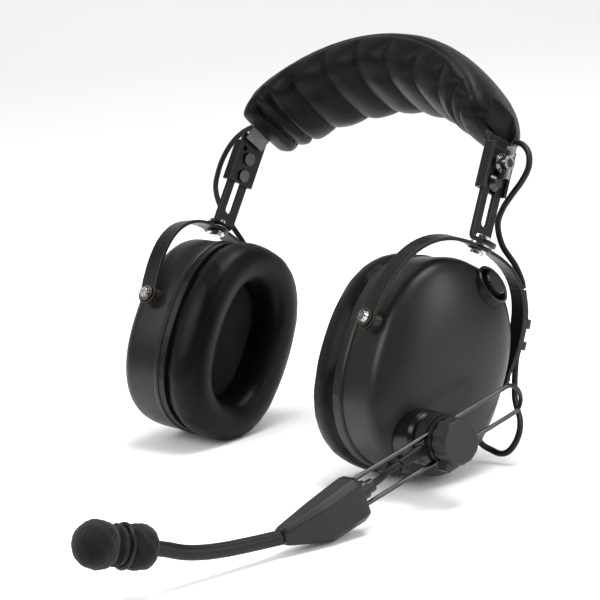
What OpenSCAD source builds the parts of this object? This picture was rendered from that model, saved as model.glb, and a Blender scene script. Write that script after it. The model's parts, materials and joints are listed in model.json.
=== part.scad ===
// Two-ear communications headset with a wire boom microphone, standing on its ear seals.
// Millimetres. +Z up, the table is Z = 0, -Y is the wearer's front, +X is the microphone side.
// The head frame leans back about X; a cup frame has x outward, y rearward and z up.

/* [Posture] */
// Backward lean of the standing headset
lean = 29; // [20:0.5:32]
// How far the ear seals are pressed flat by the table
seal_sink = 2.2; // [1:0.1:4]
// Inward toe of each ear cup
toe = 8; // [0:1:12]
// Outward lean of each stirrup from the head frame
stirrup_lean = 9.5; // [5:0.5:12]

/* [Ear cup] */
// Half distance between the two cup tilt axes
pivot_x = 84; // [78:1:90]
// Width of a cup shell, front to rear
shell_w = 73.6; // [70:0.2:76]
// Height of a cup shell
shell_h = 98.6; // [96:0.2:104]
// Squareness of the oval outline, 2 is an ellipse
oval_power = 2.4; // [2:0.1:3]
// Drop of the oval's centre below the tilt axis
cup_drop = 8; // [6:1:10]
// Wall of a cup shell
wall = 3; // [2:0.5:4]
// Outer face of the shell, outboard of the tilt axis
face_x = 18; // [16:0.5:22]
// Open rim of the shell, inboard of the tilt axis
rim_x = 15; // [13:1:17]

/* [Ear seal] */
// Width of the ear seal
seal_w = 77.2; // [74:0.2:80]
// Height of the ear seal
seal_h = 103.4; // [100:0.2:106]
// Width of the soft ring
seal_ring = 19.5; // [16:0.5:21]
// Face that touches the head, inboard of the tilt axis
seal_x = 39.3; // [36:0.1:42]

/* [Headband] */
// Height of the spring's crown above the tilt axes
crown_z = 149; // [140:1:155]
// Radius of the crown arc
crown_r = 105; // [95:0.1:112]
// Radius of the arcs at the sides
side_r = 45.2; // [43:0.1:47]
// Width of the spring
spring_w = 13; // [12:1:20]
// Half width of the head pad at the crown
pad_w = 25; // [20:0.5:30]
// Half width of the head pad at its ends
pad_end_w = 9.5; // [8:0.5:15]
// Thickness of the head pad at the crown
pad_t = 25; // [18:1:36]
// Thickness of the head pad at its ends
pad_end_t = 14.5; // [12:0.5:20]
// Backward tip of the headband beyond its arms
band_tip = 13; // [0:0.5:20]

/* [Arms and stirrups] */
// Width of the arm strap
arm_w = 13; // [11:0.5:18]
// Thickness of the arm strap
arm_t = 2; // [1.5:0.1:2.5]
// Width of the stirrup strap
stirrup_w = 9; // [7:0.5:11]
// Thickness of the stirrup strap
stirrup_t = 1.6; // [1.2:0.1:2]
// Half width of the stirrup over its legs
stirrup_r = 42.5; // [41:0.5:45]
// Swivel top of the stirrup above the tilt axis
stirrup_h = 50.7; // [49:0.1:53]

/* [Boom] */
// Slope of the boom wires below the cup's horizontal
boom_angle = 43.5; // [20:0.5:60]
// Distance between the two wires
wire_gap = 12.5; // [11:0.5:15]
// Radius of the boom wire
wire_r = 1; // [0.8:0.1:1.2]
// Plane of the boom, outboard of the tilt axis
boom_x = 33.5; // [33:0.5:36]
// Radius of the gooseneck
neck_r = 3.1; // [2.5:0.1:3.5]
// Radius of the windscreen's ball
screen_r = 9.5; // [8:0.5:14]

/* [Cable] */
// Radius of the crossover cable
cable_r = 1.45; // [1.2:0.05:1.6]

/* [Hidden] */
$fn = 48;

OVAL_SIDES = 40;
TUBE_SIDES = 8;

// ---- Curves and frames ----

function spow(v, e) = sign(v) * pow(abs(v), e);
function unit(v) = v / norm(v);
function oval(a, b, k = OVAL_SIDES) =
  [for (i = [0:k - 1]) let (t = 360 * i / k) [a * spow(cos(t), 2 / oval_power), b * spow(sin(t), 2 / oval_power)]];
// A ring of a cup shape at depth x, from half widths a and b
function cup_ring(x, a, b) = [for (p = oval(a, b)) [x, p[0], p[1] - cup_drop]];

// Height of a cup point over the tilt axis once the headset leans
function leant_z(p) = p[2] * cos(lean) - (p[1] * cos(toe) - p[0] * sin(toe)) * sin(lean);

// Closes a list of equal rings into one skin with flat ends
module loft(rings) {
  m = len(rings[0]);
  last = (len(rings) - 1) * m;
  sides = [
    for (i = [0:len(rings) - 2], j = [0:m - 1])
      let (a = i * m + j, b = i * m + (j + 1) % m) each [[a, b + m, b], [a, a + m, b + m]]
  ];
  ends = [[for (j = [0:m - 1]) j], [for (j = [m - 1:-1:0]) last + j]];
  polyhedron([for (r = rings) each r], concat(sides, ends), convexity = 8);
}

// Closes a list of equal rings into a hoop, the last ring joined to the first
module hoop(rings) {
  m = len(rings[0]);
  n = len(rings);
  faces = [
    for (i = [0:n - 1], j = [0:m - 1])
      let (a = i * m + j, b = i * m + (j + 1) % m, c = ((i + 1) % n) * m + j, d = ((i + 1) % n) * m + (j + 1) % m)
        each [[a, b, d], [a, d, c]]
  ];
  polyhedron([for (r = rings) each r], faces, convexity = 8);
}

// Sweeps a round tube along points, its side direction carried from ring to ring
function tangent(p, i) = unit(p[min(i + 1, len(p) - 1)] - p[max(i - 1, 0)]);
function carried(t, n, i = 0) =
  i == len(t) ? [] : let (m = unit(n - (n * t[i]) * t[i])) concat([m], carried(t, m, i + 1));
module tube(p, r, start = [0, 0, 1]) {
  t = [for (i = [0:len(p) - 1]) tangent(p, i)];
  n = carried(t, start);
  loft([
    for (i = [0:len(p) - 1])
      [for (j = [0:TUBE_SIDES - 1]) let (a = 360 * j / TUBE_SIDES) p[i] + r * (cos(a) * n[i] + sin(a) * cross(t[i], n[i]))]
  ]);
}

// Outline of a strip of thickness t along a path in one plane
function strip(p, t) =
  let (
    n = [for (i = [0:len(p) - 1]) let (d = p[min(i + 1, len(p) - 1)] - p[max(i - 1, 0)]) [-d[1], d[0]] / norm(d)]
  ) concat([for (i = [0:len(p) - 1]) p[i] + n[i] * t / 2], [for (i = [len(p) - 1:-1:0]) p[i] - n[i] * t / 2]);

SEAL_LOW = min([for (p = oval(seal_w / 2, seal_h / 2)) leant_z([-seal_x + 7, p[0], p[1] - cup_drop])]);
pivot_z = -SEAL_LOW - seal_sink;

// The origin lies on the table, under the middle of the whole headset
ORIGIN_X = 12.4;
ORIGIN_Y = -56.4;
module head() {
  translate([-ORIGIN_X, -ORIGIN_Y, pivot_z]) rotate([-lean, 0, 0]) children();
}
module side(s) {
  if (s > 0) head() children();
  else head() mirror([1, 0, 0]) children();
}
// The stirrup frame has its origin at the swivel top and z along the swivel axis
module stirrup_frame(s) {
  side(s)
    translate([pivot_x + stirrup_h * sin(stirrup_lean), 0, stirrup_h * cos(stirrup_lean)])
      rotate([0, stirrup_lean, 0]) rotate([0, 0, -toe]) children();
}
module cup(s) {
  stirrup_frame(s) translate([0, 0, -stirrup_h]) rotate([0, -stirrup_lean, 0]) children();
}
// The strap frame starts where the arm leaves the head pad, x outward and z up along the strap
STRAP_LEAN = 3;
STRAP_X = 85.6;
STRAP_Y = 1.5;
STRAP_Z = 98;
module strap_frame(s) {
  side(s) translate([STRAP_X, STRAP_Y, STRAP_Z]) rotate([0, -STRAP_LEAN, 0]) children();
}
// The boom frame has its origin on the swivel axis, -y along the wires to the microphone
BOOM_Y = -8;
BOOM_Z = -42;
module boom() {
  cup(1) translate([0, BOOM_Y, BOOM_Z]) rotate([boom_angle, 0, 0]) children();
}
// A round shape about the x axis of a frame
module about_x(x = 0, y = 0, z = 0) {
  translate([x, y, z]) rotate([0, 90, 0]) children();
}
module about_y(x = 0, y = 0, z = 0) {
  translate([x, y, z]) rotate([-90, 0, 0]) children();
}
// The same piece at the front and the rear of a cup
module both_ends() {
  children();
  mirror([0, 1, 0]) children();
}
module above_table() {
  intersection() {
    children();
    translate([-200, -300, 0]) cube([400, 600, 400]);
  }
}

// ---- Headband ----

ARC_JOIN = 40;
CROWN_C = [0, crown_z - crown_r];
SIDE_C = CROWN_C + (crown_r - side_r) * [sin(ARC_JOIN), cos(ARC_JOIN)];
// A point of the spring at angle a from the crown, offset by d to the outside
function arch(a, d = 0) =
  abs(a) <= ARC_JOIN ? CROWN_C + (crown_r + d) * [sin(a), cos(a)]
                     : [sign(a) * SIDE_C[0], SIDE_C[1]] + (side_r + d) * [sin(a), cos(a)];
PAD_ANGLES = [-72, -65, -56, -47, -38, -28, -17, -6, 6, 17, 28, 38, 47, 56, 65, 72];
PAD_TOP = 6;
SPRING_END = 80;
SPRING_T = 1;
// Height of the relief in each pad end that the arm slides up into
PAD_NOTCH = 24;
// Room behind the arm in that relief, for when the legs spread
NOTCH_ROOM = 3.4;
PAD_SIDES = 16;
function swell(a) = pow(cos(a), 0.6);

module headband() {
  head() translate([0, 0, STRAP_Z]) rotate([-band_tip, 0, 0]) translate([0, 0, -STRAP_Z]) children();
}
module head_pad() {
  color("#1c1c1e") difference() {
    headband() loft([
      for (a = PAD_ANGLES)
        let (w = pad_end_w + (pad_w - pad_end_w) * swell(a), t = pad_end_t + (pad_t - pad_end_t) * swell(a))
          [
            for (j = [0:PAD_SIDES - 1])
              let (q = 360 * j / PAD_SIDES, p = arch(a, PAD_TOP - t / 2 + t / 2 * spow(sin(q), 0.8)))
                [p[0], w * spow(cos(q), 0.8), p[1]]
          ]
    ]);
    for (s = [-1, 1]) strap_frame(s) translate([ARM_X - arm_t / 2 - NOTCH_ROOM, -BRACKET_W / 2 - 0.8, 0])
      cube([NOTCH_ROOM + 12, BRACKET_W + 1.6, PAD_NOTCH]);
  }
}
module headband_spring() {
  path = [for (a = [-12:12]) arch(SPRING_END * a / 12)];
  color("#3a3a3c") headband() rotate([90, 0, 0]) linear_extrude(spring_w, center = true) polygon(strip(path, SPRING_T));
}

// ---- Adjustable arms ----

BRACKET_T = 1.6;
LIP_T = 1.4;
BRACKET_W = arm_w + 2 * LIP_T + 0.6;
BRACKET_L = 22;
BRACKET_TOP = 4.4;
LIP_H = 4;
STUD_R = 2;
FIT = 0.05;
NUT_DOWN = 8;
GUIDE_DOWN = 17.5;
ARM_X = BRACKET_T / 2 + 0.25 + arm_t / 2;

// A band end: a shallow channel that the arm slides in, with two holes for its studs
module band_bracket(s) {
  color("#232325") strap_frame(s) difference() {
    union() {
      translate([-BRACKET_T / 2, -BRACKET_W / 2, -BRACKET_L]) cube([BRACKET_T, BRACKET_W, BRACKET_L + BRACKET_TOP]);
      both_ends()
        translate([-BRACKET_T / 2, BRACKET_W / 2 - LIP_T, -BRACKET_L])
          cube([BRACKET_T + LIP_H, LIP_T, BRACKET_L]);
    }
    for (z = [NUT_DOWN, GUIDE_DOWN]) about_x(-3, 0, -z) cylinder(r = STUD_R + 0.02, h = 6);
    about_x(-3, -4.6, -3.4) cylinder(r = 1.6, h = 6);
  }
}
// The clamp stud with its inside head and thread, and the guide rivet below it
module clamp_studs(s) {
  color("#b8b8ba") strap_frame(s) {
    about_x(-BRACKET_T / 2 - 1.3, 0, -NUT_DOWN) cylinder(r = 3.4, h = 1.25);
    about_x(-BRACKET_T / 2 - 0.1, 0, -NUT_DOWN) cylinder(r = STUD_R, h = 10.5);
    about_x(-BRACKET_T / 2 - 1.3, 0, -GUIDE_DOWN) cylinder(r = 3.2, h = 1.25);
    about_x(-BRACKET_T / 2 - 0.1, 0, -GUIDE_DOWN) cylinder(r = STUD_R, h = 5.2);
    about_x(ARM_X + arm_t / 2 + 0.3, 0, -GUIDE_DOWN) cylinder(r1 = 4.2, r2 = 2.4, h = 2.4);
  }
}
module thumb_nut(s) {
  color("#c8c8ca") strap_frame(s) about_x(ARM_X + arm_t / 2 + 0.3, 0, -NUT_DOWN) difference() {
    union() {
      cylinder(r = 4.6, h = 2);
      translate([0, 0, 1.9]) cylinder(r = 3.4, h = 4.4);
      for (a = [0, 180]) rotate(a) translate([3, -0.8, 3]) cube([5, 1.6, 4.5]);
    }
    translate([0, 0, -1]) cylinder(r = STUD_R + FIT, h = 9.6);
  }
}

// Where the strap's plane meets the foot's plane, and the bend between them
FOOT_GAP = 1.05;
FOOT_TOP = FOOT_GAP + arm_t / 2;
SWIVEL = [pivot_x + stirrup_h * sin(stirrup_lean), stirrup_h * cos(stirrup_lean)];
STRAP_DIR = [sin(STRAP_LEAN), -cos(STRAP_LEAN)];
FOOT_DIR = [cos(stirrup_lean), -sin(stirrup_lean)];
STRAP_PT = [STRAP_X, STRAP_Z] + ARM_X * [cos(STRAP_LEAN), sin(STRAP_LEAN)];
FOOT_PT = SWIVEL + FOOT_TOP * [sin(stirrup_lean), cos(stirrup_lean)];
function wedge(u, v) = u[0] * v[1] - u[1] * v[0];
CORNER = STRAP_PT + STRAP_DIR * wedge(FOOT_PT - STRAP_PT, FOOT_DIR) / wedge(STRAP_DIR, FOOT_DIR);
BEND_R = 3;
TURN = 90 - STRAP_LEAN - stirrup_lean;
BEND_LEG = BEND_R * tan(TURN / 2);
BEND_C = CORNER - STRAP_DIR * BEND_LEG + BEND_R * [cos(STRAP_LEAN), sin(STRAP_LEAN)];
ARM_TOP = 1;
FOOT_R = 7.5;
SLOT_W = 4.6;
SLOT_TOP = 4;
SLOT_END = 39;

// The arm: a slotted strap, a bend and a round-ended foot over the stirrup
module arm(s) {
  bend = [for (k = [0:6]) let (a = 180 + STRAP_LEAN + TURN * k / 6) BEND_C + BEND_R * [cos(a), sin(a)]];
  path = concat([STRAP_PT + STRAP_DIR * ARM_TOP], bend, [FOOT_PT + FOOT_DIR * FOOT_R]);
  color("#242426") difference() {
    side(s) translate([0, STRAP_Y, 0]) rotate([90, 0, 0]) linear_extrude(arm_w, center = true) polygon(strip(path, arm_t));
    strap_frame(s) {
      about_x(ARM_X - 3, 0, -SLOT_TOP - SLOT_W / 2) cylinder(r = SLOT_W / 2, h = 6);
      about_x(ARM_X - 3, 0, -SLOT_END + SLOT_W / 2) cylinder(r = SLOT_W / 2, h = 6);
      translate([ARM_X - 3, -SLOT_W / 2, -SLOT_END + SLOT_W / 2]) cube([6, SLOT_W, SLOT_END - SLOT_TOP - SLOT_W]);
    }
    stirrup_frame(s) {
      translate([0, 0, -1]) cylinder(r = STUD_R + 0.03, h = 8);
      difference() {
        translate([0, -10, -1]) cube([20, 20, 6]);
        translate([0, 0, -2]) cylinder(r = FOOT_R - 0.2, h = 8);
      }
    }
  }
}
// The swivel rivet with its head on the foot, a spacer, and a washer and tail under the stirrup
module swivel_rivet(s) {
  color("#c8c8ca") stirrup_frame(s) {
    translate([0, 0, -4.2]) cylinder(r = STUD_R, h = 8.4);
    translate([0, 0, FOOT_GAP + arm_t + 0.05]) cylinder(r = 4.4, h = 1.5);
    translate([0, 0, 0.1]) cylinder(r = 4.8, h = FOOT_GAP - 0.15);
    translate([0, 0, -stirrup_t - 1.3]) cylinder(r = 4.8, h = 1);
    translate([0, 0, -4.2]) cylinder(r = 3, h = 1.6);
  }
}

// ---- Stirrups ----

PIVOT_BOSS_R = 5.2;
ARCH_POWER = 2.6;
TOP_BOSS_R = 6.5;
// Outline of the stirrup's arch, half width a and height h, from leg to leg
function bow(a, h) =
  [for (t = [0:5:180]) [stirrup_h - h * spow(sin(t), 2 / ARCH_POWER), a * spow(cos(t), 2 / ARCH_POWER)]];
module stirrup(s) {
  color("#1f1f21") stirrup_frame(s) difference() {
    union() {
      about_x(-stirrup_w / 2, 0, 0) linear_extrude(stirrup_w) difference() {
        polygon(bow(stirrup_r, stirrup_h));
        polygon(concat(bow(stirrup_r - stirrup_t, stirrup_h - stirrup_t), [
          [stirrup_h + 1, stirrup_t - stirrup_r], [stirrup_h + 1, stirrup_r - stirrup_t],
        ]));
      }
      both_ends() about_y(0, stirrup_r - stirrup_t, -stirrup_h) cylinder(r = PIVOT_BOSS_R, h = stirrup_t);
      translate([0, 0, -stirrup_t]) cylinder(r = TOP_BOSS_R, h = stirrup_t);
    }
    both_ends() about_y(0, 30, -stirrup_h) cylinder(r = STUD_R + FIT, h = 20);
    translate([0, 0, -5]) cylinder(r = STUD_R + FIT, h = 10);
  }
}

// ---- Ear cups ----

SHELL_A = shell_w / 2;
SHELL_B = shell_h / 2;
ROUND_X = 4;
ROUND_POWER = 2.6;
// Shell profile: size and depth at angle u of the rounded outer edge
function round_s(u) = pow(cos(u), 2 / ROUND_POWER);
function round_x(u, d) = ROUND_X + (d - ROUND_X) * pow(sin(u), 2 / ROUND_POWER);
SHELL_STEPS = [0, 14, 28, 42, 56, 68, 79];
module shell_body() {
  inner = [for (i = [len(SHELL_STEPS) - 1:-1:0]) let (u = SHELL_STEPS[i])
    cup_ring(round_x(u, face_x - wall), (SHELL_A - wall) * round_s(u), (SHELL_B - wall) * round_s(u))];
  outer = [for (u = SHELL_STEPS) cup_ring(round_x(u, face_x), SHELL_A * round_s(u), SHELL_B * round_s(u))];
  rim = [cup_ring(-rim_x, SHELL_A - wall + 0.4, SHELL_B - wall + 0.4), cup_ring(-rim_x, SHELL_A + 0.4, SHELL_B + 0.4)];
  loft(concat(inner, rim, outer));
}
BASE_R = 12;
GLAND_Y = 32.5;
GLAND_Z = -28;
GLAND_DIP = 16;
module gland_frame() {
  translate([-2, GLAND_Y, GLAND_Z]) rotate([-GLAND_DIP, 0, 0]) about_y() children();
}
KNOB_POS = [13, 9.5, 34.5];
KNOB_TILT = 55;
KNOB_TURN = 8;
module knob_frame() {
  translate(KNOB_POS) rotate([-KNOB_TURN, 0, 0]) rotate([0, KNOB_TILT, 0]) children();
}
LEAD_Y = -7;
LEAD_Z = -60.5;
SCREW_IN = 29.5;
module cup_shell(s) {
  color("#2b2b2d") cup(s) difference() {
    union() {
      shell_body();
      both_ends() about_y(0, SCREW_IN + 2.5, 0) cylinder(r = 4.6, h = 8.7);
    }
    both_ends() about_y(0, 20, 0) cylinder(r = STUD_R + 0.03, h = 30);
    gland_frame() translate([0, 0, -6]) cylinder(r = 3.05, h = 12);
    if (s > 0) {
      about_x(8, BOOM_Y, BOOM_Z) cylinder(r = BASE_R + 0.05, h = 30);
      knob_frame() translate([0, 0, -8]) cylinder(r = 9.55, h = 20);
      translate([2, LEAD_Y, -70]) cylinder(r = 4.05, h = 20);
    }
  }
}
BAFFLE_X = 19;
SPEAKER_R = 20;
module baffle_plate(s) {
  color("#1a1a1c") cup(s) about_x(-BAFFLE_X, 0, -cup_drop) difference() {
    linear_extrude(BAFFLE_X - rim_x - 0.1) rotate(-90) polygon(oval(SHELL_A + 0.4, SHELL_B + 0.4));
    for (a = [0:60:300]) rotate(a) translate([9, 0, -1]) cylinder(r = 3, h = 8);
    translate([0, 0, -1]) cylinder(r = 3, h = 8);
    for (x = [-33, 33]) translate([x, 0, -1]) cylinder(r = 1.5, h = 8);
  }
}
// The soft ring's section: depth from the head side and distance in from the outer edge
SEAL_SECTION = [
  [-19.2, 2.6], [-21.5, 0.6], [-26, 0], [-32, 0.2], [-36.2, 2.2], [-38.6, 6],
  [-39.3, 10], [-38.6, 14.5], [-36, 18], [-31.5, 19.4], [-25, 19.5], [-19.2, 18.5],
];
module ear_seal(s) {
  a = seal_w / 2;
  b = seal_h / 2;
  grow = seal_ring / 19.5;
  color("#161617") above_table() cup(s)
    hoop([for (q = SEAL_SECTION) cup_ring(q[0] + 39.3 - seal_x, a - q[1] * grow, b - q[1] * grow)]);
}
module ear_cloth(s) {
  color("#0c0c0c") cup(s) about_x(-BAFFLE_X - 1.3, 0, -cup_drop)
    linear_extrude(1.2) rotate(-90) polygon(oval(SHELL_A - 19.2, SHELL_B - 19.2));
}
module speaker_frame(s) {
  color("#303032") cup(s) about_x(-rim_x + 0.1, 0, -cup_drop) rotate_extrude()
    polygon([[16, 0], [SPEAKER_R, 0], [SPEAKER_R, 3], [12, 7.5], [4, 7.5], [4, 6], [11, 6], [17, 2.2]]);
}
module speaker_magnet(s) {
  color("#8a8a8c") cup(s) about_x(-rim_x + 7.7, 0, -cup_drop) {
    cylinder(r = 13, h = 5);
    translate([0, 0, 4.9]) cylinder(r = 11, h = 2);
  }
}
FOAM_X = 4;
module acoustic_foam(s) {
  color("#4a4a4c") cup(s) difference() {
    about_x(FOAM_X, 0, -cup_drop) linear_extrude(4.5) rotate(-90) polygon(oval(SHELL_A - 9, SHELL_B - 9));
    both_ends() about_y(0, 20, 0) cylinder(r = 8, h = 30);
    gland_frame() translate([0, 0, -20]) cylinder(r = 6, h = 30);
    if (s > 0) {
      about_x(0, BOOM_Y, BOOM_Z) cylinder(r = BASE_R + 2, h = 40);
      translate([-1, -40, 12]) cube([40, 80, 60]);
    }
  }
}
// Gland and short boot where the crossover cable enters the shell
module cable_gland(s) {
  color("#141415") cup(s) gland_frame() {
    translate([0, 0, -3]) cylinder(r = 3, h = 6);
    translate([0, 0, 2.9]) cylinder(r = 4.2, h = 1.5);
    translate([0, 0, 4.3]) cylinder(r1 = 2.9, r2 = 1.9, h = 5);
  }
}
module pivot_screws(s) {
  color("#d0d0d2") cup(s) both_ends() difference() {
    union() {
      about_y(0, SCREW_IN, 0) cylinder(r = STUD_R, h = 14.2);
      about_y(0, stirrup_r + 1.05, 0) cylinder(r1 = 2.9, r2 = 2.4, h = 1.9);
    }
    translate([-5, stirrup_r + 2.2, -0.4]) cube([10, 3, 0.8]);
  }
}
module pivot_washers(s) {
  color("#8c6a3c") cup(s) both_ends() about_y(0, stirrup_r + 0.1, 0) difference() {
    cylinder(r = 4, h = 0.9);
    translate([0, 0, -1]) cylinder(r = STUD_R + FIT, h = 4);
  }
}

// ---- Volume control, board and lead gland of the microphone cup ----

module volume_bezel() {
  color("#202022") cup(1) knob_frame() rotate_extrude()
    polygon([[3.3, -7], [9.5, -7], [9.5, 1.2], [8.9, 1.8], [8.1, 1.2], [7.6, -5.2], [3.3, -5.2]]);
}
module volume_pot() {
  color("#77777a") cup(1) knob_frame() {
    translate([0, 0, -13]) cylinder(r = 7.5, h = 5.9);
    translate([0, 0, -7.2]) cylinder(r = 3.2, h = 2);
    translate([0, 0, -5.3]) cylinder(r = 1.5, h = 5.8);
  }
}
KNURLS = 18;
module volume_knob() {
  color("#101011") cup(1) knob_frame() difference() {
    union() {
      translate([0, 0, -4.6]) cylinder(r = 5.9, h = 7.2);
      translate([0, 0, 2.5]) cylinder(r1 = 5.9, r2 = 5.1, h = 0.8);
    }
    translate([0, 0, -5]) cylinder(r = 1.5 + FIT, h = 5.8);
    for (i = [0:KNURLS - 1]) rotate(360 * i / KNURLS) translate([6.3, 0, -5]) cylinder(r = 0.75, h = 10);
  }
}
module amplifier_board() {
  color("#1f5a34") cup(1) {
    translate([0.2, -20, -34]) cube([1.6, 36, 40]);
    about_x(1.7, -10, -6) cylinder(r = 3, h = 2);
    about_x(1.7, 4, -10) cylinder(r = 3, h = 2);
    translate([1.7, -6, -28]) cube([1.6, 12, 8]);
  }
}
LEAD_BORE_R = 3;
module lead_gland() {
  color("#141415") cup(1) translate([2, LEAD_Y, LEAD_Z]) difference() {
    union() {
      translate([0, 0, 3]) cylinder(r = 4, h = 9.5);
      cylinder(r = 5.2, h = 3.1);
    }
    translate([0, 0, -1]) cylinder(r = LEAD_BORE_R, h = 20);
  }
}

// ---- Boom swivel and clamp ----

BASE_FACE = 27;
DISC_R = 11.5;
BOLT_R = 3;
module boom_base() {
  color("#0f0f10") cup(1) about_x(0, BOOM_Y, BOOM_Z) rotate_extrude()
    polygon([
      [BOLT_R + FIT, 11], [BASE_R, 11], [BASE_R, 22.5], [BASE_R - 0.8, 24.6],
      [BASE_R - 2.4, 26.2], [BASE_R - 4.5, BASE_FACE], [BOLT_R + FIT, BASE_FACE],
    ]);
}
module swivel_bolt() {
  color("#9a9a9c") boom() about_x() {
    translate([0, 0, 7.2]) cylinder(r = 5.5, h = 3.3);
    translate([0, 0, 7.5]) cylinder(r = BOLT_R, h = 28);
    translate([0, 0, 35]) cylinder(r = 2.5, h = 8);
  }
}
module wire_grooves(r) {
  for (z = [-1, 1]) about_y(boom_x, -30, z * wire_gap / 2) cylinder(r = r, h = 60);
}
module clamp_inner() {
  color("#1b1b1d") boom() difference() {
    about_x(BASE_FACE + 0.4) cylinder(r = DISC_R, h = boom_x - 0.05 - BASE_FACE - 0.4);
    about_x(20) cylinder(r = BOLT_R + 0.03, h = 20);
    wire_grooves(wire_r + FIT);
  }
}
module clamp_outer() {
  color("#1b1b1d") boom() difference() {
    about_x(boom_x + 0.05) cylinder(r = DISC_R - 1, h = 2.6);
    about_x(20) cylinder(r = BOLT_R + 0.03, h = 20);
    wire_grooves(wire_r + FIT);
  }
}
KNOB_X = 36.5;
KNOB_GROOVES = 12;
LUG_TURN = 45;
module clamp_knob() {
  color("#3c3c3c") boom() {
    difference() {
      union() {
        about_x(KNOB_X) cylinder(r = 10, h = 7.2);
        about_x(KNOB_X + 7.1) cylinder(r1 = 10, r2 = 9, h = 1);
      }
      about_x(KNOB_X - 1) cylinder(r = 2.5 + FIT, h = 7.6);
      for (i = [0:KNOB_GROOVES - 1]) rotate([360 * i / KNOB_GROOVES, 0, 0]) about_x(KNOB_X - 1, 0, 11.6) cylinder(r = 2.2, h = 12);
    }
    rotate([-LUG_TURN, 0, 0]) translate([KNOB_X, -1.6, -13.6]) cube([5, 3.2, 6]);
  }
}

// ---- Boom ----

WIRE_TAIL = 40;
WIRE_IN = 60;
module boom_wire() {
  color("#c0c0c2") boom() translate([boom_x, 0, 0]) {
    for (z = [-1, 1]) about_y(0, -WIRE_IN, z * wire_gap / 2) cylinder(r = wire_r, h = WIRE_TAIL + WIRE_IN);
    translate([0, WIRE_TAIL, 0]) rotate([0, 90, 0]) rotate_extrude(angle = 180) translate([wire_gap / 2, 0]) circle(r = wire_r);
  }
}
BLOCK_REAR = 51.5;
// Block sections: distance forward, lower and upper edge, half thickness
BLOCK_CUTS = [[51.5, -9.8, 8, 6.8], [54, -10.4, 8.4, 7.2], [72, -10.6, 6.6, 6.8], [90, -3, 4.8, 4.2], [91.5, -2.2, 4.4, 3.6]];
function block_ring(c) =
  let (k = 2.6 * c[3] / 7)
    [
      for (p = [
        [-c[3], c[1] + k], [-c[3] + k, c[1]], [c[3] - k, c[1]], [c[3], c[1] + k],
        [c[3], c[2] - k], [c[3] - k, c[2]], [-c[3] + k, c[2]], [-c[3], c[2] - k],
      ]) [boom_x + p[0], -c[0], p[1]]
    ];
module boom_block() {
  color("#2a2a2c") boom() difference() {
    union() {
      loft([for (c = BLOCK_CUTS) block_ring(c)]);
      about_y(boom_x, -BLOCK_REAR - 1, 0) cylinder(r = 4, h = 6);
      about_y(boom_x, -BLOCK_REAR + 4, 0) cylinder(r = 2.9, h = 5);
    }
    for (z = [-1, 1]) about_y(boom_x, -WIRE_IN - 0.2, z * wire_gap / 2) cylinder(r = wire_r + 0.03, h = 20);
  }
}
BOSS_TIP = BLOCK_REAR - 9;
BOOT_Y = 24;
module mic_cable_boot() {
  color("#111112") boom() about_y(BASE_FACE + 3.5, -BOOT_Y, 0) {
    cylinder(r1 = 1.9, r2 = 2.9, h = BOOT_Y - DISC_R - 0.1);
  }
}
module mic_cable() {
  x0 = BASE_FACE + 3.5;
  color("#131314") boom() tube([
    [x0, -BOOT_Y - 0.1, 0], [x0, -28, 0], [x0 + 1, -33, 0], [boom_x - 0.5, -38, 0], [boom_x, -BOSS_TIP + 0.1, 0],
  ], 1.5);
}
// Route of the gooseneck in the boom frame: distance forward and height
NECK_PATH = [[91.7, 1.2], [99, 3.4], [108, 6.2], [117, 9.2], [126, 12.8], [134, 17], [140.5, 21.7], [146.3, 25.5]];
module gooseneck() {
  color("#151516") boom() tube([for (p = NECK_PATH) [boom_x, -p[0], p[1]]], neck_r);
}
MIC_RISE = 31;
module mic_frame() {
  boom() translate([boom_x, -146.4, 25.6]) rotate([-MIC_RISE, 0, 0]) rotate([90, 0, 0]) children();
}
module mic_housing() {
  color("#1d1d1f") mic_frame() {
    translate([0, 0, 0.1]) cylinder(r1 = 4.2, r2 = 5.2, h = 2);
    translate([0, 0, 2]) cylinder(r = 5.2, h = 21);
  }
}
module mic_capsule() {
  color("#a8a8aa") mic_frame() translate([0, 0, 23.1]) cylinder(r = 4.8, h = 5);
}
BALL_AT = 23.5;
WAIST = 12.2;
function ball(a) = [screen_r * cos(a), BALL_AT + screen_r * sin(a)];
module windscreen() {
  color("#1a1a1a") mic_frame() rotate_extrude() polygon(concat(
    [[5.3, 0.3], [7.2, 0.3], [8.4, 1.6], [8.9, 4], [8.9, 8], [8.4, 10.4], [7.4, WAIST - 1], [7.4, WAIST + 1]],
    [for (a = [-45:15:90]) ball(a)],
    [[0, 30], [5.3, 30]]
  ));
}
module windscreen_band() {
  color("#0a0a0a") mic_frame() translate([0, 0, WAIST]) rotate_extrude() translate([8.3, 0]) circle(r = 0.9);
}

// ---- Crossover cable ----

// Stretch inside the pad, head frame: x, y, z
function band_point(a) = let (p = arch(a, -3)) [p[0], 10, p[1]];
module crossover_cable_band() {
  color("#131314") headband() tube([for (a = [-70:14:70]) band_point(a)], cable_r, [0, 1, 0]);
}
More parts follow.
